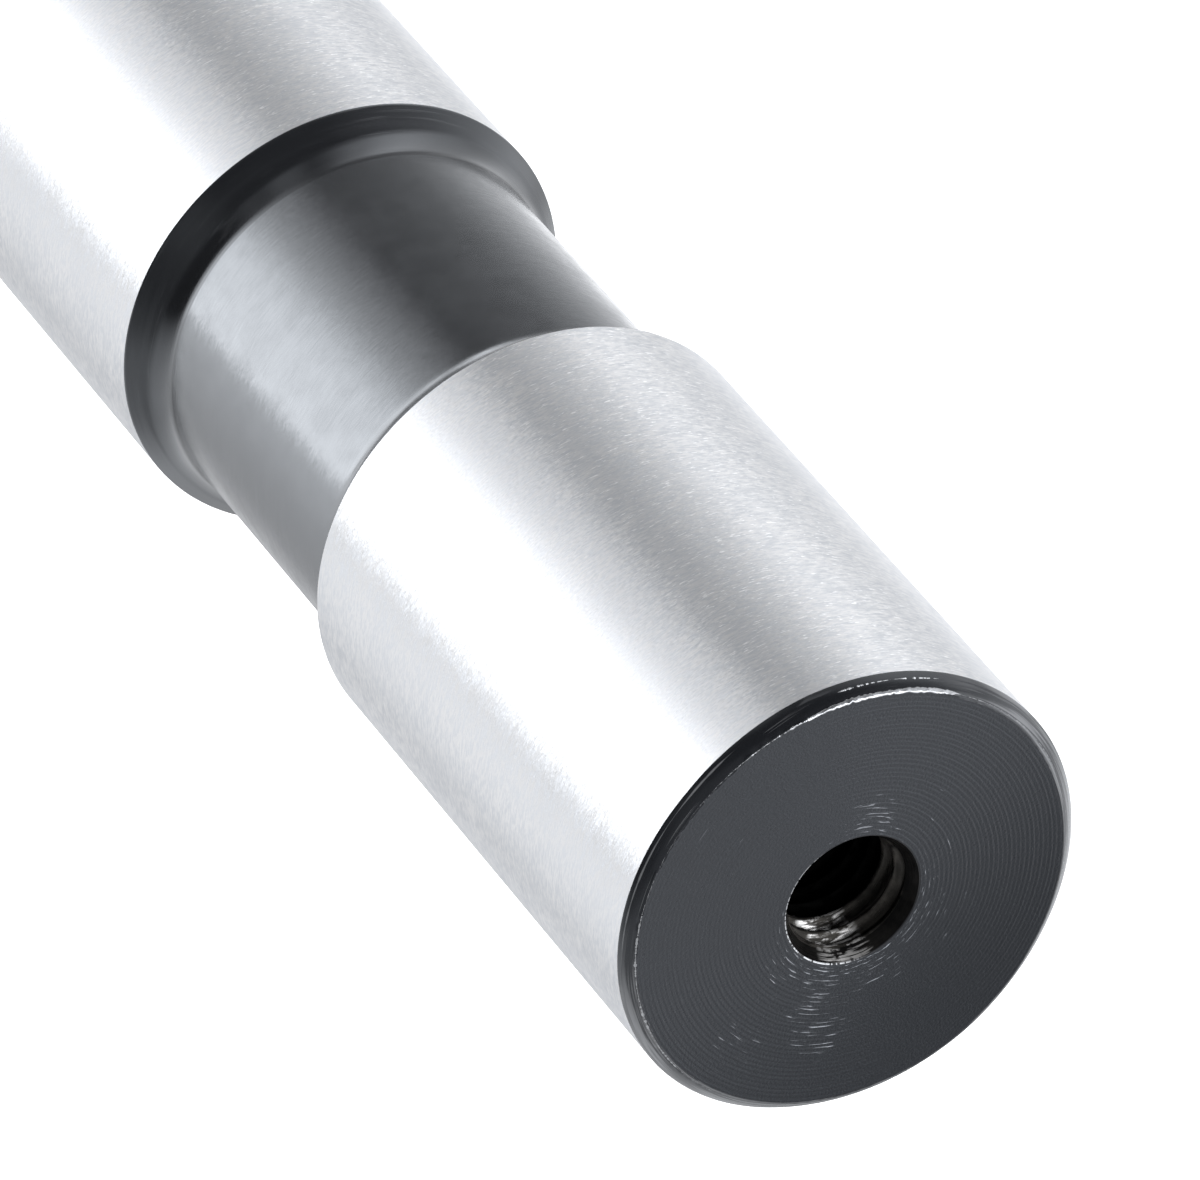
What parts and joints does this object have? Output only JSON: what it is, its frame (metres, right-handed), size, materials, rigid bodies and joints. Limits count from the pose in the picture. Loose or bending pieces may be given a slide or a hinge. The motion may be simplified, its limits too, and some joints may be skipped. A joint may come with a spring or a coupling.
{
  "type": "straight shank arbor",
  "caption": "Straight round steel arbor with ground lands, a relieved black neck between them and a tapped drawbar hole in one end.",
  "frame": {"origin": "on the arbor's axis, in the plane of the plain lower end that it stands on", "axes": "+Z along the axis, from the plain end up to the tapped end; X and Y are square to it and otherwise free, because the arbor is turned"},
  "size_m": [0.02, 0.02, 0.1],
  "materials": {
    "steel": "ground bright on both lands; black oxide, as turned, on the end face, the chamfers, the neck and the hole"
  },
  "bodies": {
    "root": {"arbor": "steel"}
  },
  "joints": []
}
